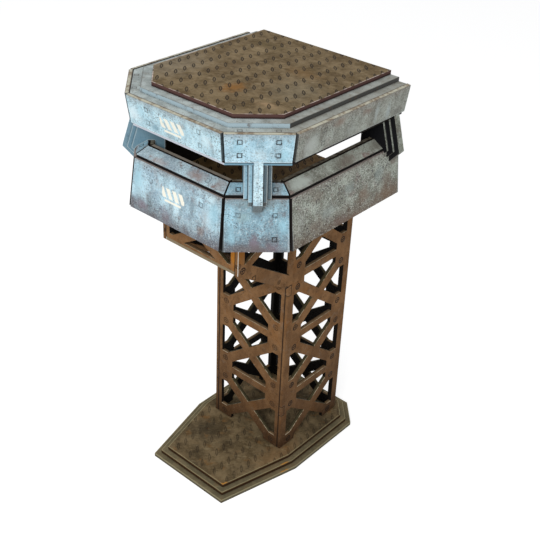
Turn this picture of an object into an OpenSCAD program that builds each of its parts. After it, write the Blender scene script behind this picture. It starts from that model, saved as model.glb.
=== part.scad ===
// Tabletop watchtower, cut from flat board and painted. Millimetres, Z up.
// The front faces -Y, the ground is z = 0, and the tower's axis is x = 0, y = 0.

/* [Board] */
// Thickness of the board that every piece is cut from
board = 3; // [2:0.1:5]
// Clearance round a tab, and between a pillar and the parapet that it straddles
fit_gap = 0.1; // [0.05:0.05:0.5]

/* [Base] */
// Half width of the base at its front edge
base_front_half = 39.2; // [30:0.1:55]
// Half width of the base where it is widest
base_wide_half = 57.3; // [52:0.1:90]
// Half width of the base at its back edge
base_back_half = 38.7; // [30:0.1:55]
// From the tower's axis to the front edge of the base
base_front_reach = 110.6; // [80:0.1:160]
// From the tower's axis forward to where the sides start to taper
base_taper_front = 39.4; // [20:0.1:70]
// From the tower's axis back to where the sides start to taper
base_taper_back = 36.7; // [20:0.1:45]
// From the tower's axis to the back edge of the base
base_back_reach = 55.9; // [50:0.1:90]
// How far each plate of the base is set in from the one below
base_step = 4.6; // [2:0.1:6]

/* [Tower] */
// Width of the tower over its side panels
tower_width = 75; // [60:0.5:90]
// Depth of the tower over its front and back panels
tower_depth = 76; // [60:0.5:90]
// Height of the lattice panels, from the base to the cabin floor
tower_height = 235; // [200:1:260]
// Width of a corner post, from the tower's corner to the first gap
post_width = 6.7; // [5:0.1:10]
// How far a gusset stands out from its post
gusset_reach = 11.8; // [8:0.1:15]
// Number of braced bays
bay_count = 4; // [3:1:5]
// Height from one cross bar to the next
bay_pitch = 58.3; // [45:0.1:75]
// Height of a cross bar
bar_height = 6.4; // [4:0.1:10]
// Strip of panel above the highest cross bar
top_strip = 3.7; // [2:0.1:8]
// Width of a diagonal brace, square to its length
brace_width = 8.7; // [5:0.1:10]
// How far short of the bar a brace's centre line meets the post
brace_drop = 2.4; // [0:0.1:5]
// Height of the gap beside the braces, at the post
side_gap_height = 27; // [20:0.1:32]
// Height of a corner tab
tab_height = 8.6; // [5:0.1:14]
// Middle of the lower tab above the base plates
low_tab = 40.3; // [25:0.1:60]
// Middle of the upper tab above the base plates
high_tab = 160.3; // [120:0.1:190]
// Height of the strip along the top of the front panel, which ends at its upper tabs
front_strip = 5; // [3:0.1:8]

/* [Corbel] */
// How far the corbel's front is behind the top edge of the cabin's front wall
corbel_setback = 20.8; // [5:0.1:40]
// Height of the corbel at its front, down from the cabin floor
corbel_front_height = 34.7; // [28:0.1:45]
// Height of the corbel where it meets the tower
corbel_back_height = 72.5; // [60:0.1:90]
// Height of the sloping strut, measured upright
strut_height = 12.3; // [8:0.1:16]
// Width of the corbel's front post
corbel_post = 7; // [5:0.1:10]
// Height of the corbel's top rail
corbel_rail = 7; // [4:0.1:9]
// From the corbel's front to where strut and brace part
corbel_gusset = 14.5; // [10:0.1:20]
// Height of the corbel's brace, measured upright
corbel_brace = 7; // [4:0.1:10]
// How far under the floor the corbel's brace meets the tower
corbel_brace_drop = 10.4; // [9:0.1:20]
// Width of the braces in the corbel's front and bottom panels
corbel_panel_brace = 7.6; // [4:0.1:10]
// Height of the edge strips of the corbel's front panel
corbel_panel_edge = 2; // [1.5:0.1:4]
// Height of the corner pads of the corbel's front panel
corbel_panel_pad = 4; // [3:0.1:6]
// Width of the end bars of the corbel's bottom panel
corbel_bottom_bar = 6.4; // [4:0.1:10]

/* [Cabin walls] */
// From the axis to the wall's top edge at the sides
side_reach = 73.4; // [60:0.1:90]
// From the axis to the wall's top edge at the front
front_reach = 116.5; // [105:0.1:140]
// How much the front corners are cut back, along each side
corner_cut = 30.6; // [24:0.1:40]
// From the axis to the open back of the cabin
back_reach = 34.4; // [30:0.1:38]
// How far the wall flares out at its foot
wall_flare = 4.4; // [0:0.1:8]
// Height of the wall
wall_rise = 36.9; // [28:0.1:50]
// How far the wall's foot hangs below the floor board
wall_hang = 0.9; // [0:0.1:3]
// Slope of the capping boards above the walls
cap_angle = 30.5; // [20:0.5:45]
// Length of a capping board up its slope
cap_length = 9.45; // [6:0.05:14]

/* [Pillars] */
// Height of the gap between the parapet's top and the fascia
slit_height = 19.4; // [14:0.1:30]
// How far a pillar's knee stands out beyond the wall's top edge
pillar_reach = 8.9; // [7:0.1:12]
// Lean of a pillar's outer edge
pillar_lean = 16.4; // [5:0.1:20]
// Slope of a pillar's undercut, below its knee
pillar_undercut = 49; // [30:1:60]
// Depth of a pillar inward from the wall's top edge
pillar_inner = 21.2; // [18:0.1:30]
// Number of boards in a pillar's middle
pillar_core_boards = 2; // [1:1:3]
// How far each outer board of a pillar is set back
pillar_step = 3; // [1.5:0.1:3.5]

/* [Roof] */
// Height of the fascia
fascia_rise = 20.2; // [14:0.1:30]
// How far the fascia's foot stands out beyond the wall's top edge
fascia_foot = 1.3; // [0.5:0.1:4]
// How far the fascia leans out on its way up
fascia_flare = 2.8; // [0:0.1:6]
// How far the ceiling board is set in behind the fascia's foot
ceiling_inset = 2; // [1:0.1:2.5]
// How far the middle roof plate is set in from the wall's top edge
roof_middle_inset = 6.1; // [3:0.1:9]
// How far the top roof plate is set in from the wall's top edge
roof_top_inset = 13.4; // [11:0.1:20]

/* [Hidden] */
root_two = sqrt(2);
half_w = tower_width / 2;
half_d = tower_depth / 2;
base_top = 3 * board;
floor_z = base_top + tower_height;
floor_top = floor_z + board;
front_top = base_top + high_tab + tab_height / 2;

// Wall, measured outward from the wall's top edge and up from the ground
wall_lean = atan(wall_flare / wall_rise);
wall_foot = floor_z - wall_hang;
wall_top = wall_foot + wall_rise;
in_low = [wall_flare - board * cos(wall_lean), wall_foot - board * sin(wall_lean)];
in_high = [-board * cos(wall_lean), wall_top - board * sin(wall_lean)];
floor_out = in_low[0] + (in_high[0] - in_low[0]) * (floor_top - in_low[1]) / (in_high[1] - in_low[1]);

// Capping board and inner wall
cap_low = in_high;
cap_high = cap_low + cap_length * [-cos(cap_angle), sin(cap_angle)];
cap_skin = board * [sin(cap_angle), cos(cap_angle)];
lining = cap_high[0];
parapet_top = cap_high[1] + cap_skin[1];

// Fascia, ceiling board and roof plates
fascia_lean = atan(fascia_flare / fascia_rise);
fascia_z = parapet_top + slit_height;
fascia_top = fascia_z + fascia_rise;
fascia_in = board * [-cos(fascia_lean), sin(fascia_lean)];
fas_low = [fascia_foot, fascia_z] + fascia_in;
fas_high = [fascia_foot + fascia_flare, fascia_top] + fascia_in;
ceiling_out = fascia_foot - ceiling_inset;
ceiling_top = fascia_z + ceiling_inset * tan(fascia_lean);
ceiling_z = ceiling_top - board;
roof_low_z = fascia_top - board;
roof_low_out = fas_low[0] + (roof_low_z - fas_low[1]) * tan(fascia_lean);

// Corbel
corbel_reach = front_reach - corbel_setback - half_d;
strut_slope = (corbel_back_height - corbel_front_height) / corbel_reach;
strut_angle = atan(strut_slope);
corbel_y = -half_d - corbel_reach;

PANEL = [0.43, 0.34, 0.28];
PLATE = [0.60, 0.68, 0.70];
TREAD = [0.42, 0.37, 0.29];
DARK = [0.26, 0.22, 0.19];

// Outline of the base, each edge moved in by d
function turn_in(a, b) = let (v = b - a) [-v[1], v[0]] / norm(v);
function inset_corner(a, b, c, d) =
    let (m = turn_in(a, b), n = turn_in(b, c)) b + d * (m + n) / (1 + m * n);
function inset(p, d) = let (k = len(p))
    [for (i = [0:k - 1]) inset_corner(p[(i + k - 1) % k], p[i], p[(i + 1) % k], d)];
base_outline = [
    [-base_front_half, -base_front_reach], [base_front_half, -base_front_reach],
    [base_wide_half, -base_taper_front], [base_wide_half, base_taper_back],
    [base_back_half, base_back_reach], [-base_back_half, base_back_reach],
    [-base_wide_half, base_taper_back], [-base_wide_half, -base_taper_front]];

// Cabin outline, moved out by d at the front, the corners and the sides
function corner_reach(d) = (side_reach + front_reach - corner_cut) / root_two + d;
function front_half(d) = corner_reach(d) * root_two - front_reach - d;
function side_start(d) = side_reach + d - corner_reach(d) * root_two;
function cut_start(d) = corner_reach(d) - root_two * (front_reach + d);
function cut_end(d) = root_two * (side_reach + d) - corner_reach(d);
function cabin_outline(d) = [
    [-front_half(d), -front_reach - d], [front_half(d), -front_reach - d],
    [side_reach + d, side_start(d)], [side_reach + d, back_reach],
    [-side_reach - d, back_reach], [-side_reach - d, side_start(d)]];

module cabin_plate(d, z) {
    translate([0, 0, z]) linear_extrude(board) polygon(cabin_outline(d));
}

// A board on one face of the cabin: its inner side runs from low to high, each
// [how far out, height], and from s[0]..s[1] along the face at its foot to t[0]..t[1]
module face_board(turn, reach, low, high, s, t) {
    rise = high - low;
    rotate([0, 0, turn]) translate([0, -reach - low[0], low[1]])
        rotate([atan2(rise[1], -rise[0]), 0, 0]) linear_extrude(board)
            polygon([[s[0], 0], [s[1], 0], [t[1], norm(rise)], [t[0], norm(rise)]]);
}
module front_board(a, b) {
    face_board(0, front_reach, a, b, [-front_half(a[0]), front_half(a[0])],
        [-front_half(b[0]), front_half(b[0])]);
}
module corner_board(a, b) {
    face_board(45, corner_reach(0), a, b, [cut_start(a[0]), cut_end(a[0])],
        [cut_start(b[0]), cut_end(b[0])]);
}
module side_board(a, b) {
    face_board(90, side_reach, a, b, [side_start(a[0]), back_reach],
        [side_start(b[0]), back_reach]);
}
module left() { mirror([1, 0, 0]) children(); }

// Flat drawing stood upright: facing the front, or along the side
module stand_front(y) { translate([0, y, 0]) rotate([90, 0, 0]) linear_extrude(board) children(); }
module stand_side(x) { translate([x, 0, 0]) rotate([90, 0, 90]) linear_extrude(board) children(); }

// Gaps of one crossed bay, h to each side, open from low to high
// g is the half width between the gussets and w a brace's half height, measured upright
module bay_gaps(h, g, low, high, slope, w, gap) {
    mid = (low + high) / 2;
    rise = slope * g + w;
    flat = (gap / 2 + w) / slope;
    polygon([[-g, high], [-g, mid + rise], [0, mid + w], [g, mid + rise], [g, high]]);
    polygon([[-g, low], [g, low], [g, mid - rise], [0, mid - w], [-g, mid - rise]]);
    for (k = [-1, 1]) polygon([[k * h, mid - gap / 2], [k * h, mid + gap / 2],
        [k * flat, mid + gap / 2], [k * w / slope, mid], [k * flat, mid - gap / 2]]);
}

// Gaps of a whole lattice panel whose posts leave h to each side of its middle
module lattice_gaps(h) {
    clear = bay_pitch - bar_height;
    slope = (clear / 2 - brace_drop) / h;
    w = brace_width / 2 * sqrt(1 + slope * slope);
    for (i = [0:bay_count - 1]) {
        high = floor_z - top_strip - bar_height - i * bay_pitch;
        bay_gaps(h, h - gusset_reach, high - clear, high, slope, w, side_gap_height);
    }
}

// Front or back panel, up to top, with no gap above roof
module front_lattice(top, roof) {
    difference() {
        union() {
            translate([-half_w + board, base_top]) square([tower_width - 2 * board, top - base_top]);
            for (z = [low_tab, high_tab])
                translate([-half_w, base_top + z - tab_height / 2]) square([tower_width, tab_height]);
        }
        intersection() {
            lattice_gaps(half_w - post_width);
            translate([-half_w, base_top]) square([tower_width, roof - base_top]);
        }
    }
}

module side_lattice() {
    front = corbel_y;
    foot = floor_z - corbel_front_height;
    fork = front + corbel_gusset;
    fork_z = foot - strut_slope * corbel_gusset + strut_height;
    brace_slope = (floor_z - corbel_brace_drop - fork_z) / (-half_d - fork);
    post = front + corbel_post;
    rail = floor_z - corbel_rail;
    brace_z = fork_z - brace_slope * (fork - post) + corbel_brace;
    difference() {
        union() {
            translate([-half_d, base_top]) square([tower_depth, tower_height]);
            polygon([[-half_d + board, floor_z], [front, floor_z], [front, foot],
                [-half_d, floor_z - corbel_back_height], [-half_d + board, floor_z - corbel_back_height]]);
        }
        lattice_gaps(half_d - post_width);
        polygon([[-half_d, floor_z - corbel_back_height + strut_height], [fork, fork_z],
            [-half_d, floor_z - corbel_brace_drop]]);
        polygon([[post, brace_z], [post, rail], [post + (rail - brace_z) / brace_slope, rail]]);
        for (z = [low_tab, high_tab], k = [-1, 1])
            translate([k * half_d - (k + 1) / 2 * (board + fit_gap),
                base_top + z - tab_height / 2 - fit_gap])
                square([board + fit_gap, tab_height + 2 * fit_gap]);
    }
}

// One crossed panel between the corbel's sides, from low to high
module corbel_lattice(low, high, edge, pad) {
    h = half_w - post_width;
    slope = (high - low) / 2 / (h - corbel_panel_brace / 2);
    w = corbel_panel_brace / 2 * sqrt(1 + slope * slope);
    mid = (low + high) / 2;
    span = high - low - 2 * edge;
    tip = (span / 2 - w) / slope;
    gap = high - low - 2 * pad;
    difference() {
        translate([-half_w + board, low]) square([tower_width - 2 * board, high - low]);
        polygon([[-tip, mid + span / 2], [0, mid + w], [tip, mid + span / 2]]);
        polygon([[-tip, mid - span / 2], [tip, mid - span / 2], [0, mid - w]]);
        for (k = [-1, 1]) polygon([[k * h, mid - gap / 2], [k * h, mid + gap / 2],
            [k * min(h, (gap / 2 + w) / slope), mid + gap / 2], [k * w / slope, mid],
            [k * min(h, (gap / 2 + w) / slope), mid - gap / 2]]);
    }
}

module base_plate(i) {
    translate([0, 0, i * board]) linear_extrude(board) polygon(inset(base_outline, i * base_step));
}

// Pillar board number k out from the core, drawn as [how far in from its face, height]
module pillar_profile(reach, k) {
    a = [cos(pillar_lean), sin(pillar_lean)];
    b = [sin(pillar_undercut), -cos(pillar_undercut)];
    knee = [pillar_reach, wall_top] - k * pillar_step * (a + b) / (1 + a * b);
    skin = fit_gap / cos(wall_lean);
    // Where the undercut meets the wall's outer side
    wall_t = wall_flare / wall_rise;
    cut_t = tan(pillar_undercut);
    foot_x = (skin + wall_t * (wall_top - knee[1] + cut_t * knee[0])) / (1 + wall_t * cut_t);
    foot_z = knee[1] - cut_t * (knee[0] - foot_x);
    top_z = (knee[0] - (fascia_z - knee[1]) * tan(pillar_lean) > ceiling_out + fit_gap)
        ? fascia_z : ceiling_z;
    top_x = knee[0] - (top_z - knee[1]) * tan(pillar_lean);
    hook = top_z == fascia_z ? [[ceiling_out + fit_gap, ceiling_z], [ceiling_out + fit_gap, fascia_z]] : [];
    rim = cap_high[0] + cap_skin[0];
    saddle = parapet_top + fit_gap / cos(cap_angle);
    points = concat([[top_x, top_z], knee, [foot_x, foot_z],
        [skin, wall_top]], [cap_low + (1 + fit_gap / board) * cap_skin,
        [rim, saddle], [lining - board - fit_gap, saddle],
        [lining - board - fit_gap, floor_top], [-pillar_inner, floor_top], [-pillar_inner, ceiling_z]],
        hook);
    polygon([for (q = points) [-reach - q[0], q[1]]]);
}

// A whole pillar, its middle at s along its face
module pillar(turn, reach, s) {
    core = pillar_core_boards * board;
    rotate([0, 0, turn]) {
        translate([s - core / 2, 0, 0]) rotate([90, 0, 90]) linear_extrude(core)
            pillar_profile(reach, 0);
        for (k = [1, 2], x = [s + core / 2 + (k - 1) * board, s - core / 2 - k * board])
            translate([x, 0, 0]) rotate([90, 0, 90]) linear_extrude(board)
                pillar_profile(reach, k);
    }
}
pillar_half = (pillar_core_boards / 2 + 2) * board;
module corner_pillar() { pillar(45, corner_reach(0), (cut_start(0) + cut_end(0)) / 2); }
module back_pillar() { pillar(90, side_reach, back_reach - pillar_half); }

module base_lower_plate() { color(TREAD) base_plate(0); }
module base_middle_plate() { color(TREAD) base_plate(1); }
module base_upper_plate() { color(TREAD) base_plate(2); }

module tower_front_panel() {
    color(PANEL) stand_front(-half_d + board) front_lattice(front_top, front_top - front_strip);
}
module tower_back_panel() { color(PANEL) stand_front(half_d) front_lattice(floor_z, floor_z); }
module tower_right_panel() { color(PANEL) stand_side(half_w - board) side_lattice(); }
module tower_left_panel() { color(PANEL) stand_side(-half_w) side_lattice(); }

module corbel_front_panel() {
    low = floor_z - corbel_front_height + board * cos(strut_angle);
    color(PANEL) stand_front(corbel_y + board)
        corbel_lattice(low, floor_z, corbel_panel_edge, corbel_panel_pad);
}
module corbel_bottom_panel() {
    long = (corbel_reach - board * sin(strut_angle)) / cos(strut_angle);
    color(PANEL) translate([0, corbel_y, floor_z - corbel_front_height])
        rotate([-strut_angle, 0, 0]) linear_extrude(board)
            corbel_lattice(0, long, corbel_bottom_bar, corbel_bottom_bar);
}

module cabin_floor() { color(TREAD) cabin_plate(floor_out, floor_z); }
module front_wall() { color(PLATE) front_board(in_low, in_high); }
module right_corner_wall() { color(PLATE) corner_board(in_low, in_high); }
module left_corner_wall() { left() right_corner_wall(); }
module right_wall() { color(PLATE) side_board(in_low, in_high); }
module left_wall() { left() right_wall(); }

module front_cap() { color(PLATE) front_board(cap_low, cap_high); }
module right_corner_cap() { color(PLATE) corner_board(cap_low, cap_high); }
module left_corner_cap() { left() right_corner_cap(); }
module right_cap() { color(PLATE) side_board(cap_low, cap_high); }
module left_cap() { left() right_cap(); }

lining_low = [lining - board, floor_top];
lining_high = [lining - board, parapet_top];
module front_lining() { color(DARK) front_board(lining_low, lining_high); }
module right_corner_lining() { color(DARK) corner_board(lining_low, lining_high); }
module left_corner_lining() { left() right_corner_lining(); }
module right_lining() { color(DARK) side_board(lining_low, lining_high); }
module left_lining() { left() right_lining(); }

module right_corner_pillar() { color(PLATE) corner_pillar(); }
module left_corner_pillar() { left() right_corner_pillar(); }
module right_back_pillar() { color(PLATE) back_pillar(); }
module left_back_pillar() { left() right_back_pillar(); }

module ceiling_board() { color(DARK) cabin_plate(ceiling_out, ceiling_z); }
module front_fascia() { color(PLATE) front_board(fas_low, fas_high); }
module right_corner_fascia() { color(PLATE) corner_board(fas_low, fas_high); }
module left_corner_fascia() { left() right_corner_fascia(); }
module right_fascia() { color(PLATE) side_board(fas_low, fas_high); }
module left_fascia() { left() right_fascia(); }
module roof_lower_plate() { color(PLATE) cabin_plate(roof_low_out, roof_low_z); }
module roof_middle_plate() { color(PLATE) cabin_plate(-roof_middle_inset, fascia_top); }
module roof_top_plate() { color(TREAD) cabin_plate(-roof_top_inset, fascia_top + board); }

base_lower_plate();
base_middle_plate();
base_upper_plate();
tower_front_panel();
tower_back_panel();
tower_left_panel();
tower_right_panel();
corbel_front_panel();
corbel_bottom_panel();
cabin_floor();
front_wall();
left_corner_wall();
right_corner_wall();
left_wall();
right_wall();
front_cap();
left_corner_cap();
right_corner_cap();
left_cap();
right_cap();
front_lining();
left_corner_lining();
right_corner_lining();
left_lining();
right_lining();
left_corner_pillar();
right_corner_pillar();
left_back_pillar();
right_back_pillar();
ceiling_board();
front_fascia();
left_corner_fascia();
right_corner_fascia();
left_fascia();
right_fascia();
roof_lower_plate();
roof_middle_plate();
roof_top_plate();
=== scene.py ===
import math

import bpy
from mathutils import Matrix, Vector

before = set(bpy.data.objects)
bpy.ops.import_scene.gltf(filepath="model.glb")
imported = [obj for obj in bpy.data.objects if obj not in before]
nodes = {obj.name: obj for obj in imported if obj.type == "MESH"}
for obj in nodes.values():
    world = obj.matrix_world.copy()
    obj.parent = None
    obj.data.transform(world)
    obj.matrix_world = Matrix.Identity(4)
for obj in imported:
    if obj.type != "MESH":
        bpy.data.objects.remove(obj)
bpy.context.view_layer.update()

MM = 0.001  # metres
FINE = 0.05  # height of the paint's fine roughness, mm
DENT = -0.12  # height of engraved lines, mm
SQUARE = 1.45  # half the side of an engraved square, mm
BOARD = 3  # thickness of every board, mm
SLANT = 0.70711  # sine of 45 degrees


def lin(r, g, b):
    """A colour written as it shows on screen, 0 to 255, as linear numbers."""
    out = []
    for c in (r, g, b):
        c /= 255
        out.append(c / 12.92 if c <= 0.04045 else ((c + 0.055) / 1.055) ** 2.4)
    return (*out, 1.0)


class Val:
    """A number in a node tree, which takes part in plain sums."""

    def __init__(self, tree, socket):
        self.tree, self.socket = tree, socket

    def op(self, kind, *others):
        n = self.tree.nodes.new("ShaderNodeMath")
        n.operation = kind
        for i, v in enumerate((self, *others)):
            put(self.tree, v, n.inputs[i])
        return Val(self.tree, n.outputs[0])

    def __add__(self, o): return self.op("ADD", o)
    def __radd__(self, o): return self.op("ADD", o)
    def __sub__(self, o): return self.op("SUBTRACT", o)
    def __rsub__(self, o): return (self * -1).op("ADD", o)
    def __mul__(self, o): return self.op("MULTIPLY", o)
    def __rmul__(self, o): return self.op("MULTIPLY", o)
    def __truediv__(self, o): return self.op("DIVIDE", o)
    def __neg__(self): return self.op("MULTIPLY", -1.0)
    def __abs__(self): return self.op("ABSOLUTE")
    def low(self, o): return self.op("MINIMUM", o)
    def high(self, o): return self.op("MAXIMUM", o)
    def wrap(self, o): return self.op("FLOORED_MODULO", o)
    def root(self): return self.op("SQRT")

    def ramp(self, a, b):
        """0 at a, 1 at b, smooth between; a may be the larger."""
        n = self.tree.nodes.new("ShaderNodeMapRange")
        n.interpolation_type = "SMOOTHSTEP"
        put(self.tree, self, n.inputs["Value"])
        n.inputs["From Min"].default_value = a
        n.inputs["From Max"].default_value = b
        return Val(self.tree, n.outputs["Result"])


def put(tree, value, socket):
    """Links a number or a socket to an input, or sets a plain value on it."""
    if isinstance(value, Val):
        tree.links.new(value.socket, socket)
    elif isinstance(value, bpy.types.NodeSocket):
        tree.links.new(value, socket)
    else:
        socket.default_value = value


class Paint:
    """One material. s runs along the face, d outward from the axis and z up, all in mm.

    turn is the way that the face looks, in degrees from the front; side is -1 on the left half.
    ns, nd and nz are the surface's normal in the same directions.
    """

    def __init__(self, name, turn, side, seed):
        self.mat = bpy.data.materials.new(name)
        self.mat.use_nodes = True
        self.tree = self.mat.node_tree
        self.bsdf = self.tree.nodes["Principled BSDF"]
        self.seed = seed
        coords = self.new("ShaderNodeTexCoord")
        self.place = self.turned(coords.outputs["Object"], turn, side, 1000)
        self.s, d, self.z = self.split(self.place)
        self.d = -d
        normal = self.turned(self.new("ShaderNodeNewGeometry").outputs["True Normal"], turn, side, 1)
        self.ns, n, self.nz = self.split(normal)
        self.nd = -n
        self.bumps = []

    def new(self, kind):
        return self.tree.nodes.new(kind)

    def turned(self, socket, turn, side, k):
        """A vector in the face's own directions, times k."""
        n = self.new("ShaderNodeMapping")
        n.inputs["Scale"].default_value = (k * side, k, k)
        n.inputs["Rotation"].default_value = (0, 0, -math.radians(turn))
        put(self.tree, socket, n.inputs["Vector"])
        return n.outputs[0]

    def split(self, socket):
        n = self.new("ShaderNodeSeparateXYZ")
        put(self.tree, socket, n.inputs[0])
        return [Val(self.tree, o) for o in n.outputs]

    def noise(self, size, detail=2.0, rough=0.5, stretch=(1, 1, 1), seed=0, grain=0.0):
        """Cloudy noise about 0.5, with features of size mm times stretch, turned by grain degrees."""
        m = self.new("ShaderNodeMapping")
        m.vector_type = "TEXTURE"
        m.inputs["Scale"].default_value = [size * q for q in stretch]
        m.inputs["Rotation"].default_value = (0, 0, math.radians(grain))
        k = self.seed * 173 + seed * 57
        m.inputs["Location"].default_value = (k, k * 0.7 + 30, 110 - k * 0.4)
        put(self.tree, self.place, m.inputs["Vector"])
        n = self.new("ShaderNodeTexNoise")
        n.inputs["Scale"].default_value = 1.0
        n.inputs["Detail"].default_value = detail
        n.inputs["Roughness"].default_value = rough
        put(self.tree, m.outputs[0], n.inputs["Vector"])
        return Val(self.tree, n.outputs[0])

    def mix(self, a, b, f):
        """Colour a where f is 0, b where it is 1. The colour sockets come after those of the other kinds."""
        n = self.new("ShaderNodeMix")
        n.data_type = "RGBA"
        put(self.tree, f, n.inputs[0])
        put(self.tree, a, n.inputs[6])
        put(self.tree, b, n.inputs[7])
        return n.outputs[2]

    def corner_shade(self, reach):
        """1 in tight corners, 0 on open faces: the mask for painted shade in corners."""
        n = self.new("ShaderNodeAmbientOcclusion")
        n.samples = 6
        n.inputs["Distance"].default_value = reach * MM
        return 1 - Val(self.tree, n.outputs["AO"])

    def edges(self, width):
        """1 along outer edges of the board, 0 away from them."""
        n = self.new("ShaderNodeAmbientOcclusion")
        n.inside = True
        n.only_local = True
        n.samples = 8
        n.inputs["Distance"].default_value = width * MM
        return 1 - Val(self.tree, n.outputs["AO"])

    def stains(self, c, places, across=None):
        """Soft ragged patches: each is (along, up, half width, half height, colour, strength).

        Here and in square, across takes the place of the height.
        """
        up = self.z if across is None else across
        rag = (self.noise(5, 3, 0.65, seed=40) - 0.5) * 1.3
        for s, z, rs, rz, tone, strength in places:
            q = (self.s - s) / rs
            w = (up - z) / rz
            r = (q * q + w * w).root() + rag
            c = self.mix(c, lin(*tone), r.ramp(1.05, 0.1) * strength)
        return c

    def square(self, s, z, half, line=0.28, across=None):
        """Engraved outline of a small square."""
        u = (self.z if across is None else across) - z
        r = abs(self.s - s).high(abs(u))
        return abs(r - half).ramp(line + 0.22, line)

    def done(self, colour, rough=0.62, gloss=0.35):
        """Puts in the colour and all bumps, and gives the finished material."""
        put(self.tree, colour, self.bsdf.inputs["Base Color"])
        self.bsdf.inputs["Roughness"].default_value = rough
        self.bsdf.inputs["Specular IOR Level"].default_value = gloss
        h = (self.noise(0.9, 2, 0.6, seed=77) - 0.5) * FINE
        for b in self.bumps:
            h = h + b
        n = self.new("ShaderNodeBump")
        n.inputs["Distance"].default_value = MM
        n.inputs["Strength"].default_value = 1.0
        put(self.tree, h, n.inputs["Height"])
        put(self.tree, n.outputs[0], self.bsdf.inputs["Normal"])
        return self.mat


def dress(name, mat):
    """Gives a node's mesh its material."""
    o = nodes[name]
    if not o.material_slots:
        o.data.materials.append(mat)
    for slot in o.material_slots:
        slot.material = mat


# Pale steel paint on the cabin's boards
def steel(p, light, mid, dark, foot=None, head=None, rust=0.35, lo=None, hi=None, streak=1.0, wear=1.0,
          mud=(84, 73, 76)):
    """Clouds, upright streaks, pitting, mud at the foot, stains at the head and pale borders, part wear and
    part painted highlight.

    foot and head are heights; lo and hi are the face's ends along s.
    """
    cloud = p.noise(15, 5, 0.68, (1.0, 1.0, 0.8), 1).ramp(0.38, 0.62)
    c = p.mix(mid, light, cloud)
    run = p.noise(5.5, 2, 0.5, (1.0, 1.0, 6.0), 2).ramp(0.45, 0.7) * 0.6 * streak
    c = p.mix(c, dark, run)
    pale = p.noise(4.5, 2, 0.5, (1.0, 1.0, 5.0), 3).ramp(0.56, 0.74) * 0.45 * streak
    c = p.mix(c, light, pale)
    stain = p.noise(8, 4, 0.65, (1.0, 1.0, 1.2), 4)
    c = p.mix(c, lin(122, 98, 92), stain.ramp(0.54, 0.7) * rust)
    if foot is not None:
        low = (p.z + (stain - 0.5) * 30).ramp(foot + 17, foot - 1)
        c = p.mix(c, lin(*mud), low * 0.85)
    if head is not None:
        top = (p.z - (stain - 0.5) * 12).ramp(head - 6, head + 1)
        c = p.mix(c, lin(120, 104, 94), top * 0.45)
    pit = p.noise(1.0, 1.0, 0.5, seed=5)
    thick = p.noise(13, 2, 0.5, seed=15).ramp(0.36, 0.64) * 0.65 + 0.35
    c = p.mix(c, lin(50, 44, 52), pit.ramp(0.57, 0.68) * thick * (0.7 * wear))
    c = p.mix(c, lin(228, 244, 248), pit.ramp(0.34, 0.25) * 0.12)
    grain = p.noise(2.4, 3, 0.7, seed=6)
    c = p.mix(c, lin(86, 70, 60), grain.ramp(0.55, 0.7) * (0.5 * wear))
    salt = p.noise(0.9, 2, 0.6, seed=18)
    c = p.mix(c, lin(44, 40, 42), salt.ramp(0.48, 0.3) * (0.34 * wear))
    c = p.mix(c, lin(236, 240, 234), salt.ramp(0.54, 0.7) * (0.28 * wear))
    # Pale borders at the face's ends: partly wear, partly painted highlight.
    if lo is not None:
        edge = (p.s - lo).low(hi - p.s) + (grain - 0.5) * 1.5
        c = p.mix(c, lin(205, 220, 224), edge.ramp(1.0, 0.3) * 0.3)
    return c


def marks(p, c, places, half=SQUARE, across=None):
    """Engraved squares, each (along, up, how plain it shows)."""
    wear = p.noise(1.8, 1, 0.5, seed=9).ramp(0.3, 0.55)
    for s, z, strength in places:
        m = p.square(s, z, half, across=across)
        c = p.mix(c, lin(26, 25, 28), m * (0.55 + 0.45 * wear) * strength)
        p.bumps.append(m * DENT)
    return c


def stripes(p, c, s, z):
    """A plain worn stencil: slanted stripes over a bar."""
    u, v = p.s - s, p.z - z
    bars = abs((u + v * 0.55).wrap(6.0) - 3.0).ramp(2.0, 1.7)
    m = bars * abs(v - 1.3).ramp(3.6, 3.3) * abs(u).ramp(11.0, 10.7)
    line = abs(v + 4.2).ramp(0.9, 0.6) * abs(u).ramp(8.0, 7.7)
    worn = p.noise(1.6, 3, 0.7, seed=21).ramp(0.72, 0.6)
    return p.mix(c, lin(240, 236, 220), m.high(line) * worn * 0.95)


# Light, middle and dark tone of the front, the corners and the sides; the fascias are paler. The sides'
# darker grey-green is partly their paint and partly painted shade.
BLUE = [lin(186, 218, 230), lin(150, 176, 190), lin(112, 132, 142)]
SKY = [lin(158, 200, 216), lin(126, 158, 172), lin(98, 112, 120)]
MOSS = [lin(170, 177, 165), lin(122, 124, 112), lin(74, 68, 56)]
HIGH_BLUE = [lin(202, 234, 244), lin(176, 210, 222), lin(122, 148, 160)]
HIGH_SKY = [lin(190, 224, 238), lin(160, 198, 214), lin(120, 148, 160)]
HIGH_MOSS = [lin(168, 174, 164), lin(138, 141, 131), lin(100, 96, 84)]
FRONT, CORNER, SIDE = 0, 45, 90  # the way a face looks, in degrees from the front
REACH = {FRONT: 116.5, CORNER: 112.64, SIDE: 73.4}  # from the axis to the wall's top edge
MID = -30.5  # middle of a front corner, along its face
SPOT = 12.05  # from there to the middle of its engraved squares
WALL_ROWS = (268.8, 252.0)  # heights of the engraved squares
FASCIA_ROWS = (321.2, 311.6)
CAP_MIDDLE = 284.4  # height of the capping boards' middle
CAP_SLOPE = 1.97  # length along a capping board for each mm of height
BLACK = lin(18, 15, 15)

# Colours of stains, 0 to 255
RUST = (128, 92, 70)
PURPLE = (116, 98, 108)
SKYLIT = (152, 198, 214)
SOOT = (84, 92, 96)
GLARE = (216, 238, 244)

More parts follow.
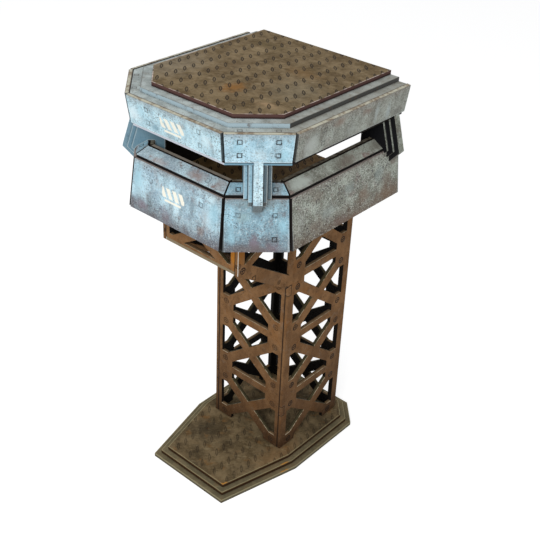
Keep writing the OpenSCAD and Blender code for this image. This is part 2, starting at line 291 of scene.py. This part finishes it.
WALL_STAINS = {
    "front": [(-36, 264, 9, 14, (186, 222, 234), 0.65), (-38, 268, 7, 12, SKYLIT, 0.5),
              (-24, 252, 6, 12, SOOT, 0.6), (-31, 249, 8, 5, PURPLE, 0.6),
              (-8, 250, 7, 10, PURPLE, 0.4), (2, 262, 4, 14, GLARE, 0.6),
              (30, 262, 8, 9, (190, 206, 212), 0.5), (16, 262, 3, 14, SOOT, 0.4),
              (25, 251, 5, 5, RUST, 0.55), (36, 266, 8, 11, SKYLIT, 0.6), (33, 276, 5, 4, GLARE, 0.4)],
    "right_corner": [(-47, 254, 5, 9, SKYLIT, 0.5), (-39, 268, 6, 5, (146, 172, 172), 0.5),
                     (-30, 272, 8, 5, SOOT, 0.6), (-32, 249, 5, 8, PURPLE, 0.75),
                     (-20, 246, 8, 5, PURPLE, 0.6), (-14, 262, 5, 9, SKYLIT, 0.6),
                     (MID, 276, 22, 7, (98, 100, 94), 0.6), (-34, 245, 20, 5, (100, 90, 88), 0.6)],
    "right": [(-77, 262, 5, 14, (150, 152, 146), 0.4), (-60, 272, 9, 6, (118, 104, 92), 0.5),
              (-48, 258, 10, 7, (152, 162, 158), 0.5), (-24, 266, 9, 6, (150, 162, 158), 0.5),
              (-8, 256, 9, 8, (116, 92, 74), 0.65), (20, 249, 16, 8, (112, 90, 70), 0.7),
              (-22, 243, 20, 5, (110, 88, 72), 0.7), (-62, 252, 9, 6, (116, 104, 92), 0.6),
              (10, 266, 8, 9, (142, 156, 154), 0.45), (20, 258, 9, 10, (104, 88, 74), 0.65),
              (28, 272, 7, 7, (110, 96, 84), 0.5), (-35, 247, 14, 4, (104, 84, 76), 0.55)],
    "left_corner": [(-46, 256, 5, 9, SKYLIT, 0.5), (-30, 250, 8, 7, PURPLE, 0.5)],
    "left": [(-60, 262, 12, 9, SKYLIT, 0.4), (-10, 254, 14, 8, PURPLE, 0.5)]}
FASCIA_STAINS = {
    "front": [(-37, 315, 9, 9, (212, 232, 238), 0.9), (-30, 318, 8, 7, SKYLIT, 0.5),
              (-17, 310, 7, 5, (92, 132, 150), 0.7), (8, 320, 5, 4, RUST, 0.4),
              (30, 316, 9, 7, GLARE, 0.5), (-2, 309, 8, 3, SOOT, 0.35)],
    "right_corner": [(-44, 318, 6, 7, SKYLIT, 0.6), (-30, 312, 9, 6, GLARE, 0.4),
                     (-14, 312, 5, 6, SKYLIT, 0.6)],
    "right": [(-72, 315, 10, 10, (180, 186, 180), 0.8), (-44, 322, 10, 4, (126, 100, 84), 0.6),
              (-30, 312, 8, 6, (160, 166, 160), 0.5), (-14, 321, 8, 4, (122, 98, 84), 0.6),
              (-2, 316, 3, 10, (176, 186, 184), 0.6), (12, 313, 4, 9, (172, 184, 186), 0.5),
              (24, 310, 9, 5, (92, 88, 82), 0.6)],
    "left_corner": [(-30, 314, 10, 7, SKYLIT, 0.4)],
    "left": [(-20, 314, 20, 7, SOOT, 0.4)]}
CAP_STAINS = {
    FRONT: [(14, 0, 12, 6, (132, 104, 94), 0.7), (34, 1, 7, 7, (124, 98, 88), 0.6),
            (-20, -2, 10, 4, (150, 124, 116), 0.5)],
    CORNER: [(MID, 1, 24, 7, (150, 200, 220), 0.6), (MID, -4, 22, 3, (128, 100, 92), 0.6),
             (MID + 13, 1, 6, 7, (120, 112, 106), 0.6)],
    SIDE: [(-70, 0, 16, 8, (184, 192, 184), 0.85), (-20, 0, 16, 6, (112, 100, 90), 0.6),
           (14, 0, 14, 7, (98, 90, 80), 0.6)]}
SEED = {"front": 1, "right_corner": 2, "right": 3, "left_corner": 4, "left": 5}

# Walls, capping boards, linings and fascias
FACES = []
for word, side in (("right", 1), ("left", -1)):
    FACES += [(word + "_corner", CORNER, side, SKY, HIGH_SKY, -52.0, -9.0),
              (word, SIDE, side, MOSS, HIGH_MOSS, -86.0, 34.4)]
FACES.append(("front", FRONT, 1, BLUE, HIGH_BLUE, -43.5, 43.5))
for face, turn, way, tones, high_tones, lo, hi in FACES:
    seed = SEED[face]
    # Engraved squares: where along the face, how plain on the fascia, and on the wall (upper, lower)
    spots = {FRONT: [-24.4, 23.8], CORNER: [MID - SPOT, MID + SPOT], SIDE: [-59.0]}[turn]
    shown = {FRONT: 0.5, CORNER: 0.9, SIDE: 0.45}[turn]
    seen = {FRONT: [(0.3, 0.3), (0.5, 0.35)], CORNER: [(0.4, 0.3), (0.65, 0.95)], SIDE: [(0.6, 0.35)]}[turn]

    p = Paint(face + "_wall_paint", turn, way, seed)
    wear, streak, mud = (1.8, 0.4, (98, 80, 62)) if turn == SIDE else (1.0, 0.8, (84, 73, 76))
    c = steel(p, *tones, foot=243, head=280, lo=lo, hi=hi, rust=0.5, streak=streak, wear=wear, mud=mud)
    c = p.stains(c, WALL_STAINS[face])
    squares = [(s, z, k) for s, ks in zip(spots, seen) for z, k in zip(WALL_ROWS, ks)]
    c = marks(p, c, squares)
    # A black band at the wall's end: painted shade of the gap beside it.
    gap = (hi - p.s).ramp(0.9, 0.5) if turn == FRONT else (p.s - lo).ramp(0.6, 0.2)
    c = p.mix(c, BLACK, gap * 0.9)
    if face == "front":
        c = stripes(p, c, -2.0, 264.5)
    # Painted light on the wall's edges: the top edge pale brown on its outer half as highlight and near
    # black on its inner half as shade under the capping board; the end faces near black as shade in the
    # gaps.
    lip = (p.d - REACH[turn]).ramp(-2.1, -1.5) * p.nz.ramp(0.2, 0.5)
    rim = p.mix(lin(20, 15, 14), lin(146, 134, 128), lip)
    c = p.mix(c, rim, p.nd.ramp(0.62, 0.42))
    # Inward faces are painted dark as shade inside the cabin, and tight corners near black as painted shade.
    c = p.mix(c, lin(30, 26, 24), p.nd.ramp(-0.3, -0.5))
    c = p.mix(c, BLACK, p.corner_shade(2.0).ramp(0.45, 0.85) * 0.8)
    dress(face + "_wall", p.done(c))

    p = Paint(face + "_cap_paint", turn, way, seed + 10)
    up = (p.z - CAP_MIDDLE) * CAP_SLOPE
    grey = [p.mix(t, lin(122, 116, 110), 0.28 if turn == FRONT else 0.12) for t in tones]
    c = steel(p, *grey, rust=0.8, streak=0.3)
    c = p.stains(c, CAP_STAINS[turn], up)
    if turn == FRONT:
        c = marks(p, c, [(spots[1], 0, 0.45)], 1.4, up)
    elif turn == CORNER:
        c = marks(p, c, [(s, 0, 0.9) for s in spots], 1.4, up)
    # The edge faces are dark brown, the lower one near black as painted shade; the undersides and tight
    # corners are painted shade too.
    rim = p.mix(lin(30, 22, 20), lin(96, 84, 76), up.ramp(0, 5))
    c = p.mix(c, rim, p.nz.ramp(0.75, 0.55))
    c = p.mix(c, lin(26, 22, 20), p.nz.ramp(-0.2, -0.5))
    c = p.mix(c, BLACK, p.corner_shade(3.0).ramp(0.35, 0.8) * 0.85)
    dress(face + "_cap", p.done(c))

    p = Paint(face + "_lining_paint", turn, way, seed + 20)
    c = p.mix(lin(118, 112, 98), lin(78, 70, 58), p.noise(4, 3, 0.6).ramp(0.4, 0.65))
    if turn == FRONT:
        c = p.mix(c, lin(170, 160, 148), 0.6)
    # Only the lining's top keeps its colour: the inner face and the other faces are painted dark as shade
    # inside the cabin.
    out = p.d - REACH[turn] + 11.1  # 0 at the lining's inner face
    c = p.mix(c, BLACK, out.ramp(-0.7, -0.1) * 0.8)
    c = p.mix(lin(34, 28, 23), c, p.nz.ramp(0.4, 0.7))
    dress(face + "_lining", p.done(c, 0.8, gloss=0.1))

    p = Paint(face + "_fascia_paint", turn, way, seed + 30)
    c = steel(p, *high_tones, head=326.4, lo=lo - 0.5, hi=hi + 0.5, rust=0.3, streak=0.8)
    c = p.stains(c, FASCIA_STAINS[face])
    c = marks(p, c, [(s, z, shown) for s in spots for z in FASCIA_ROWS])
    if face == "front":
        c = stripes(p, c, -1.0, 315.6)
    # A white line along the fascia's lower edge, painted highlight.
    foot = {FRONT: 0.6, CORNER: 0.4, SIDE: 0.15}[turn]
    c = p.mix(c, lin(232, 242, 244), p.z.ramp(307.1, 306.6) * foot)
    out = p.d - REACH[turn]
    strip = p.mix(lin(176, 174, 156), lin(116, 100, 80), p.noise(5, 3, 0.6, seed=13).ramp(0.4, 0.66))
    strip = p.mix(strip, lin(58, 40, 28), out.ramp(1.9, 1.4).high(out.ramp(3.6, 4.0)) * 0.8)
    c = p.mix(c, strip, p.nz.ramp(0.4, 0.7))
    # The end faces are painted black as shade in the gaps, the inward faces dark and tight corners near
    # black, all painted shade.
    c = p.mix(c, BLACK, abs(p.ns).ramp(0.5, 0.7) * 0.8)
    c = p.mix(c, lin(30, 26, 24), p.nd.ramp(-0.3, -0.5))
    c = p.mix(c, BLACK, p.corner_shade(3.0).ramp(0.4, 0.85) * 0.75)
    dress(face + "_fascia", p.done(c))

# Pillars: six boards side by side, the middle two reach out the furthest
for word, side in (("right", 1), ("left", -1)):
    for kind, turn, mid in (("corner", CORNER, MID), ("back", SIDE, 25.4)):
        p = Paint(word + "_" + kind + "_pillar_paint", turn, side, 50 + turn + side)
        # The right back pillar is painted as in shade: grey-green with near-black flanks and steps. The
        # other pillars are painted in their lit tones.
        in_light = kind == "corner" or side < 0
        tones = [lin(200, 228, 236), lin(170, 200, 212), lin(134, 156, 166)] if in_light else MOSS
        c = steel(p, *tones, rust=0.1, streak=0.7)
        u = abs(p.s - mid)
        if kind == "corner":
            steps = u.ramp(BOARD, BOARD + 0.3)
            c = p.mix(c, lin(98, 146, 168), steps * 0.6)
            # The boards right of the middle are painted dark, as shade.
            c = p.mix(c, lin(36, 38, 38), (p.s - mid).ramp(BOARD, BOARD + 0.3) * 0.78)
        # Black lines in the creases beside each step, painted shade.
        c = p.mix(c, BLACK, (abs(u - 3.4).low(abs(u - 6.4))).ramp(0.5, 0.2) * 0.75)
        c = p.mix(c, lin(120, 128, 130), u.ramp(0.35, 0.1) * 0.35)
        if not in_light:
            # Near black beside the next board's flank, painted shade.
            step = (mid - p.s - BOARD).wrap(BOARD).ramp(1.6, 1.2) * (mid - p.s).ramp(2.9, 3.1)
            c = p.mix(c, lin(14, 14, 18), step * 0.9)
        elif kind == "back":
            # The outward faces are painted near white, as highlight.
            c = p.mix(c, lin(236, 246, 250), p.nd.ramp(0.4, 0.6) * 0.85)
        # The flanks are painted darker as shade, near black on the shaded pillar.
        flank = lin(88, 120, 136) if in_light else lin(8, 8, 12)
        c = p.mix(c, flank, abs(p.ns).ramp(0.5, 0.9) * (0.8 if in_light else 0.97))
        # Undersides, inward faces and tight corners are painted darker, as shade.
        c = p.mix(c, lin(84, 80, 74), p.nz.ramp(-0.3, -0.6) * 0.75)
        c = p.mix(c, lin(22, 19, 18), p.nd.ramp(-0.2, -0.5))
        c = p.mix(c, lin(14, 14, 18), p.corner_shade(3.0).ramp(0.3, 0.8) * 0.85)
        # Pale lines along the boards' outer edges: painted highlight, partly edge wear.
        if in_light:
            rims = p.edges(1.1).ramp(0.15, 0.4)
            if kind == "corner":
                c = p.mix(c, lin(206, 214, 212), rims * (steps * 0.45))
            else:
                c = p.mix(c, lin(226, 238, 244), rims * 0.9)
        dress(word + "_" + kind + "_pillar", p.done(c, gloss=0.35 if in_light else 0.15))

# Roof plates and floor
def plate_reach(p):
    """How far out of the walls' top edges a place on the roof lies."""
    w = abs(p.s)
    return (p.d - REACH[FRONT]).high(w - REACH[SIDE]).high((w + p.d) * SLANT - REACH[CORNER])


def tread_marks(p, c, deep=0.9):
    """Slanted pointed marks in even rows, pressed into the board."""
    across, along = 14.2, 8.6  # from mark to mark
    lean_u, lean_v = 0.69, 0.72  # a mark's direction
    half_length, half_width = 4.0, 0.85
    u = (((p.s - 2.3) / across + 0.5).wrap(1.0) - 0.5) * across
    v = (((0.6 - p.d) / along + 0.5).wrap(1.0) - 0.5) * along
    a = (u * lean_u - v * lean_v) / half_length
    r = a * a + abs(u * lean_v + v * lean_u) / half_width
    up = p.nz.ramp(0.5, 0.8)
    m = abs(r - 1).ramp(0.6, 0.25) * up
    p.bumps.append(m * -0.15)
    worn = p.noise(5, 2, 0.5, seed=31).ramp(0.3, 0.5) * 0.35 + 0.65
    return p.mix(c, lin(26, 20, 14), m.high(r.ramp(1.0, 0.8) * up * 0.35) * worn * deep)


def brushed(p, c, light, dark, strength):
    """Fine scuffs all over the board."""
    fine = p.noise(1.6, 4, 0.75, (2.5, 1, 1), 51, 40)
    c = p.mix(c, light, fine.ramp(0.56, 0.74) * strength)
    return p.mix(c, dark, fine.ramp(0.44, 0.26) * strength)


p = Paint("roof_top_paint", FRONT, 1, 61)
c = p.mix(lin(86, 70, 45), lin(122, 105, 78), p.noise(12, 5, 0.7).ramp(0.36, 0.64))
c = p.stains(c, [(-50, 70, 26, 40, (134, 124, 106), 0.5), (40, 45, 26, 28, (116, 106, 86), 0.6),
                 (7, 71, 10, 14, (136, 92, 40), 0.7), (42, 77, 12, 6, (158, 132, 100), 0.6),
                 (-22, 44, 12, 30, (88, 70, 46), 0.6), (-30, -10, 26, 9, (90, 76, 48), 0.6),
                 (-32, 2, 10, 7, (140, 122, 92), 0.6), (22, 16, 22, 10, (120, 92, 56), 0.5)], p.d)
c = p.mix(c, lin(62, 50, 32), p.noise(6, 4, 0.65, seed=3).ramp(0.52, 0.68) * 0.5)
c = p.mix(c, lin(158, 142, 114), p.noise(2.5, 4, 0.7, (4, 0.6, 1), 4, 40).ramp(0.56, 0.7) * 0.6)
c = brushed(p, c, lin(150, 131, 96), lin(50, 38, 24), 0.7)
c = tread_marks(p, c)
# A pale line along the plate's top edge, painted highlight.
rim = plate_reach(p) + 13.4
c = p.mix(c, lin(206, 190, 182), rim.ramp(-0.9, -0.4) * p.noise(5, 2, 0.6).ramp(0.4, 0.6) * 0.8)
edge = p.mix(lin(84, 60, 56), lin(48, 34, 32), p.z.ramp(331.5, 330.0))
c = p.mix(c, edge, p.nz.ramp(0.7, 0.4))
dress("roof_top_plate", p.done(c, 0.7, gloss=0.1))

for name, inset, seed in (("roof_middle_plate", 6.1, 62), ("roof_lower_plate", -1.1, 63)):
    p = Paint(name + "_paint", FRONT, 1, seed)
    c = p.mix(lin(138, 146, 144), lin(172, 182, 180), p.noise(9, 3, 0.6).ramp(0.35, 0.65))
    c = p.mix(c, lin(106, 98, 84), p.noise(6, 4, 0.7, seed=3).ramp(0.5, 0.7) * 0.65)
    c = p.mix(c, lin(60, 54, 52), p.noise(1.0, 1, 0.5, seed=5).ramp(0.6, 0.74) * 0.6)
    c = p.mix(c, lin(126, 118, 102), p.s.ramp(48, 70) * 0.5)
    rim = plate_reach(p) + inset
    c = p.mix(c, lin(50, 36, 28), rim.ramp(-0.8, -0.2) * 0.6 * p.nz.ramp(0.5, 0.8))
    if name == "roof_lower_plate":
        square_out = 110.9  # from the axis to the engraved squares at the corners
        for s in (MID - SPOT, MID + SPOT):
            for side in (1, -1):
                x, y = (s + square_out) * SLANT * side, (s - square_out) * SLANT
                along = ((p.s - x) * side - (p.d + y)) * SLANT
                out = ((p.s - x) * side + (p.d + y)) * SLANT
                m = abs(abs(along).high(abs(out)) - SQUARE).ramp(0.5, 0.25)
                c = p.mix(c, lin(48, 40, 36), m * 0.6)
    # The edges looking right are painted dark grey as shade, the others pale blue; tight corners get painted
    # shade.
    edge = p.mix(lin(156, 176, 184), lin(62, 62, 60), p.ns.ramp(0.8, 0.95))
    edge = p.mix(edge, lin(86, 66, 50), p.noise(6, 3, 0.6, seed=14).ramp(0.55, 0.7) * 0.6)
    c = p.mix(c, edge, p.nz.ramp(0.7, 0.4))
    c = p.mix(c, lin(36, 26, 22), p.corner_shade(3.5).ramp(0.3, 0.75) * 0.85)
    dress(name, p.done(c))

p = Paint("ceiling_paint", FRONT, 1, 64)
# The ceiling is painted near black as shade inside the cabin. Its edge is pale blue, near white at the front
# as painted highlight, and dark as painted shade on the sides and at its top under the fascia.
c = p.mix(lin(24, 20, 17), lin(38, 32, 26), p.noise(12, 4, 0.6).ramp(0.4, 0.6))
rim = p.mix(lin(120, 158, 176), lin(208, 212, 222), (-p.nd).ramp(-0.75, -0.95))
rim = p.mix(rim, lin(34, 29, 26), abs(p.ns).ramp(0.8, 0.95).high(p.z.ramp(304.8, 305.2)))
c = p.mix(c, rim, (1 - abs(p.nz)).ramp(0.3, 0.6) * 0.9)
dress("ceiling_board", p.done(c, 0.8, gloss=0.1))

p = Paint("cabin_floor_paint", FRONT, 1, 65)
c = p.mix(lin(112, 86, 54), lin(150, 122, 82), p.noise(14, 4, 0.6).ramp(0.35, 0.65))
c = brushed(p, c, lin(160, 132, 92), lin(66, 50, 32), 0.45)
c = tread_marks(p, c)
c = p.mix(c, lin(60, 52, 42), p.nz.ramp(0.5, 0.2) * 0.6)
dress("cabin_floor", p.done(c, 0.75, gloss=0.1))


# Stepped base
def base_reach(p):
    """How far out of the lower plate's outline a place lies; below 0 is inside."""
    side, front, back = 57.3, 110.6, 55.9  # from the axis to the plate's edges
    taper_x, taper_y = side - 39.2, front - 39.4  # size of the cut corners
    rear_x, rear_y = side - 38.7, back - 36.7
    w = abs(p.s)
    f = ((w - side) * taper_y + (p.d - 39.4) * taper_x) / math.hypot(taper_x, taper_y)
    b = ((w - side) * rear_y + (-p.d - 36.7) * rear_x) / math.hypot(rear_x, rear_y)
    return (p.d - front).high(-p.d - back).high(w - side).high(f).high(b)


for i, name in enumerate(("base_lower_plate", "base_middle_plate", "base_upper_plate")):
    p = Paint(name + "_paint", FRONT, 1, 70)
    c = p.mix(lin(82, 68, 46), lin(118, 101, 74), p.noise(12, 5, 0.7).ramp(0.36, 0.64))
    c = p.stains(c, [(42, 45, 16, 36, (132, 102, 68), 0.5), (-24, 66, 20, 16, (62, 54, 40), 0.45)], p.d)
    c = p.mix(c, lin(50, 42, 29), p.noise(26, 4, 0.7, seed=2).ramp(0.46, 0.68) * 0.6)
    c = p.mix(c, lin(126, 88, 46), p.noise(12, 4, 0.6, seed=3).ramp(0.56, 0.72) * 0.5)
    c = p.mix(c, lin(146, 134, 104), p.noise(4, 4, 0.7, (2.4, 0.7, 1), 4, 40).ramp(0.57, 0.74) * 0.5)
    c = brushed(p, c, lin(134, 120, 90), lin(38, 32, 20), 0.6)
    if name == "base_upper_plate":
        c = tread_marks(p, c, 0.5)
    else:
        c = p.mix(c, lin(108, 104, 82), 0.45)
    # A pale border along each plate's top edge, partly wear and partly painted highlight.
    border = base_reach(p) + i * 4.6  # each plate is set in by 4.6 mm
    worn = p.noise(3, 3, 0.7, seed=8)
    c = p.mix(c, lin(170, 160, 124), (border + worn * 0.6).ramp(-0.45, 0.1) * 0.62)
    x, y = ((53.5, 50.0), (50.0, 46.0), (33.5, 100.5))[i]  # a worn tip of the plate
    tip = abs(p.s - x).high(abs(p.d - y)).ramp(5.0, 2.0) * (border + 0.3).ramp(-1.2, -0.4)
    c = p.mix(c, lin(196, 132, 44), tip * worn.ramp(0.3, 0.5) * 0.8)
    # The side faces are painted dark below as shade, with a lighter band at the top as painted highlight.
    step = p.mix(lin(54, 34, 16), lin(112, 96, 68), (p.z - i * BOARD).ramp(1.9, 2.9))
    if i == 0:
        step = p.mix(lin(96, 88, 68), lin(140, 134, 108), p.z.ramp(1.8, 2.8))
    c = p.mix(c, step, p.nz.ramp(0.7, 0.4))
    # Tight corners and the tower's foot get painted shade.
    c = p.mix(c, lin(18, 13, 8), p.corner_shade(4).ramp(0.3, 0.75) * 0.9)
    dress(name, p.done(c, 0.75, gloss=0.1))


# Lattice tower and corbel
def lattice(name, turn, seed):
    """Rusty brown with dirt, darker towards the foot."""
    p = Paint(name + "_paint", turn, 1, seed)
    c = p.mix(lin(110, 79, 50), lin(134, 99, 65), p.noise(11, 4, 0.6, (1, 1, 1.6)).ramp(0.36, 0.64))
    c = p.mix(c, lin(128, 84, 42), p.noise(18, 3, 0.6, seed=2).ramp(0.54, 0.7) * 0.45)
    c = p.mix(c, lin(132, 108, 86), p.noise(7, 3, 0.6, seed=3).ramp(0.56, 0.72) * 0.5)
    c = p.mix(c, lin(66, 48, 30), p.noise(3.5, 4, 0.7, seed=4).ramp(0.54, 0.72) * 0.55)
    c = p.mix(c, lin(56, 38, 24), p.z.ramp(150, 10) * 0.55)
    c = p.mix(c, lin(40, 24, 12), (p.z + p.noise(6, 3, 0.6, seed=19) * 16).ramp(42, 18) * 0.6)
    pit = p.noise(1.0, 1, 0.5, seed=5)
    c = p.mix(c, lin(58, 42, 30), pit.ramp(0.6, 0.76) * 0.5)
    return p, p.mix(c, lin(146, 122, 98), pit.ramp(0.36, 0.24) * 0.35)


def bolt_head(p, c, u, v, strength, half=2.3):
    """An engraved ring with a cross in it, at u = v = 0."""
    r = (u * u + v * v).root()
    cross = (abs(u).low(abs(v))).ramp(0.55, 0.25) * r.ramp(half - 0.5, half - 0.8)
    m = abs(r - half).ramp(0.7, 0.3).high(cross)
    p.bumps.append(m * DENT)
    worn = p.noise(2.2, 1, 0.5, seed=12).ramp(0.25, 0.5) * 0.5 + 0.5
    return p.mix(c, lin(24, 18, 14), m * worn * strength)


POST = 34.5  # from a panel's middle to the line where the next panel's board meets it


def bolt_rows(p, c, strength):
    """Bolt heads above and below the end of every cross bar."""
    bay, top_bar = 58.3, 237.1  # from bar to bar, and the height of the uppermost
    u = abs(p.s) - 26.9
    v = abs((p.z - top_bar + bay / 2).wrap(bay) - bay / 2) - 9.8
    return bolt_head(p, c, u, v, strength)


def reveals(p, c, depth, outside, edge):
    """Gaps' cut faces: painted lit where they look up, with a pale border as painted highlight, and painted
    in shade elsewhere.

    depth is the distance behind the panel's outer face, outside is 1 on that face and -1 on the
    inner one, and edge is 1 on the panel's outline.
    """
    level = p.nz.ramp(0.85, 0.97)
    lit = p.mix(lin(66, 60, 40), lin(112, 90, 64), level)
    # Deeper in, the cut faces are painted darker as shade.
    lit = p.mix(lit, lin(30, 24, 16), depth.ramp(1.6, 2.6) * 0.6)
    worn = p.noise(5, 3, 0.6, seed=16).ramp(0.4, 0.56) * 0.75 + level * 0.25
    # The pale border along the outer edge is a painted highlight.
    lit = p.mix(lit, lin(206, 188, 160), depth.ramp(0.7, 0.2) * worn)
    # Cut faces that do not look up, and the panel's inner face, are painted near black as shade.
    cut = p.mix(lin(16, 12, 8), lit, p.nz.ramp(0.15, 0.45))
    c = p.mix(c, cut, outside.ramp(0.75, 0.5) * (1 - edge))
    return p.mix(c, lin(12, 9, 6), outside.ramp(-0.3, -0.6))


# skin is where a panel's outer face lies, and way is the direction it looks in
for name, turn, seed, skin, way in (
        ("tower_front_panel", FRONT, 81, 38.0, 1), ("tower_back_panel", FRONT, 82, -38.0, -1),
        ("tower_right_panel", SIDE, 83, 37.5, 1), ("tower_left_panel", SIDE, 84, -37.5, -1),
        ("corbel_front_panel", FRONT, 85, 95.7, 1)):
    p, c = lattice(name, turn, seed)
    if name.startswith("tower"):
        c = bolt_rows(p, c, 0.95 if turn == SIDE else 0.6)
    if turn == SIDE:
        c = p.stains(c, [(-92, 227, 5, 14, (150, 96, 36), 0.85), (-60, 190, 20, 9, (112, 88, 66), 0.4)])
        c = bolt_head(p, c, p.s + 90.3, p.z - 211.4, 0.95)
        for y, z, half in ((-94.2, 216.8, 1.7), (-49.9, 183.4, 1.5), (-40.9, 174.2, 1.0)):
            c = bolt_head(p, c, p.s - y, p.z - z, 0.6, half)
        c = p.mix(c, lin(30, 22, 16), p.square(-78.3, 199.8, 1.7, 0.35) * 0.75)
        for z in (49.3, 169.3):  # outlines of the front panel's tabs
            tab = abs(p.s + 38).high(abs(p.z - z) - 1.3)
            c = p.mix(c, lin(22, 16, 12), abs(tab - 3.2).ramp(0.75, 0.35) * 0.85)
        glint = (p.s + 94.9).ramp(0.0, -0.3) * p.z.ramp(206, 210) * abs(p.nd).ramp(0.6, 0.9)
        seam = (abs(p.d) - POST).ramp(0.9, 0.4) * abs(p.ns).ramp(0.6, 0.9)
        c = p.mix(c, lin(16, 12, 10), seam * 0.9)
        outline = abs(p.s).ramp(37.7, 37.9) * abs(p.ns).ramp(0.6, 0.9)
        outline = outline * abs(p.s).ramp(38.3, 38.1)
        outline = outline.high(p.s.ramp(-95.5, -95.7))
    else:
        seam = abs(abs(p.s) - POST).ramp(0.75, 0.3) * abs(p.nd).ramp(0.6, 0.9)
        c = p.mix(c, lin(16, 12, 10), seam * 0.85)
        outline = abs(p.s).ramp(37.3, 37.45)
        glint = None
        if name == "corbel_front_panel":
            c = p.stains(c, [(33, 227, 7, 18, (176, 112, 36), 0.95), (-30, 214, 14, 6, (132, 96, 60), 0.5)])
    c = reveals(p, c, (skin - p.d) * way, p.nd * way, outline)
    # Tight corners get painted shade.
    c = p.mix(c, lin(16, 12, 9), p.corner_shade(3.0).ramp(0.4, 0.8) * 0.75)
    if glint is not None:
        c = p.mix(c, lin(252, 244, 230), glint * p.noise(4, 2, 0.5, seed=17).ramp(0.3, 0.45))
    dress(name, p.done(c, 0.72, gloss=0.1))
p, c = lattice("corbel_bottom_panel", FRONT, 86)
# The front edge is painted lighter, as lit from above.
c = p.mix(c, lin(140, 126, 102), p.nd.ramp(0.6, 0.8))
dress("corbel_bottom_panel", p.done(c, 0.72, gloss=0.1))

# Floor, lamps and camera
scene = bpy.context.scene
scene.view_settings.view_transform = "Standard"


def background(tree, lit, other):
    """lit where the camera, a gloss or a clear surface looks at it, other elsewhere."""
    path = tree.nodes.new("ShaderNodeLightPath")
    camera, glossy, clear = [Val(tree, path.outputs[kind]) for kind in (
        "Is Camera Ray", "Is Glossy Ray", "Is Transmission Ray")]
    n = tree.nodes.new("ShaderNodeMixShader")
    put(tree, camera.high(glossy).high(clear), n.inputs[0])
    put(tree, other, n.inputs[1])
    put(tree, lit, n.inputs[2])
    return n.outputs[0]


world = bpy.data.worlds.new("soft_room")
scene.world = world
world.use_nodes = True
tree = world.node_tree
tree.nodes.clear()
out = tree.nodes.new("ShaderNodeOutputWorld")
room = tree.nodes.new("ShaderNodeBackground")
room.inputs["Color"].default_value = (0.95, 0.96, 0.98, 1)
room.inputs["Strength"].default_value = 0.5
white = tree.nodes.new("ShaderNodeBackground")
white.inputs["Strength"].default_value = 1.0
white.inputs["Color"].default_value = (1, 1, 1, 1)
put(tree, background(tree, white.outputs[0], room.outputs[0]), out.inputs[0])

half, low = 4, -0.2 * MM  # the floor lies a little below the base
mesh = bpy.data.meshes.new("floor")
corners = [(x * half, y * half, low) for x, y in ((-1, -1), (1, -1), (1, 1), (-1, 1))]
mesh.from_pydata(corners, [], [(0, 1, 2, 3)])
floor = bpy.data.objects.new("floor", mesh)
scene.collection.objects.link(floor)
mat = bpy.data.materials.new("floor_paint")
mat.use_nodes = True
tree = mat.node_tree
tree.nodes.clear()
out = tree.nodes.new("ShaderNodeOutputMaterial")
cloth = tree.nodes.new("ShaderNodeBsdfDiffuse")
cloth.inputs[0].default_value = (0.62, 0.62, 0.62, 1)
shade = tree.nodes.new("ShaderNodeBsdfDiffuse")
shade.inputs[0].default_value = (0.45, 0.45, 0.45, 1)
glow = tree.nodes.new("ShaderNodeEmission")
glow.inputs["Strength"].default_value = 0.72
both = tree.nodes.new("ShaderNodeAddShader")
put(tree, shade.outputs[0], both.inputs[0])
put(tree, glow.outputs[0], both.inputs[1])
put(tree, background(tree, both.outputs[0], cloth.outputs[0]), out.inputs[0])
floor.data.materials.append(mat)


def lamp(name, place, aim, power, size):
    """A round soft lamp that looks at aim; size is its width in metres."""
    data = bpy.data.lights.new(name, "AREA")
    data.energy, data.shape, data.size = power, "DISK", size
    o = bpy.data.objects.new(name, data)
    o.location = place
    o.rotation_euler = (Vector(aim) - Vector(place)).to_track_quat("-Z", "Y").to_euler()
    scene.collection.objects.link(o)


middle = (0, -0.03, 0.2)
lamp("key", (0.7, -1.2, 1.0), middle, 15, 0.7)
lamp("top", (-0.4, -0.6, 1.6), middle, 6, 1.2)

# The photograph's viewpoint: azimuth, elevation, roll and focal length
az, el, roll = math.radians(40.121), math.radians(32.343), math.radians(2.611)
back = Vector((math.sin(az) * math.cos(el), -math.cos(az) * math.cos(el), math.sin(el)))
right = Vector((math.cos(az), math.sin(az), 0))
up = back.cross(right)
unit = 0.075 / 70  # the tower's width over its width in the units of the camera's fit
target = Vector((-29.12, 19.23, 122.885)) * unit
place = target + back * 748.462 * unit
axis_x = right * math.cos(roll) + up * math.sin(roll)
axis_y = up * math.cos(roll) - right * math.sin(roll)
data = bpy.data.cameras.new("camera")
data.lens, data.sensor_width = 62.097, 36.0
data.clip_start, data.clip_end = 0.05, 30
camera = bpy.data.objects.new("camera", data)
camera.matrix_world = Matrix((
    (axis_x.x, axis_y.x, back.x, place.x), (axis_x.y, axis_y.y, back.y, place.y),
    (axis_x.z, axis_y.z, back.z, place.z), (0, 0, 0, 1)))
scene.collection.objects.link(camera)
scene.camera = camera
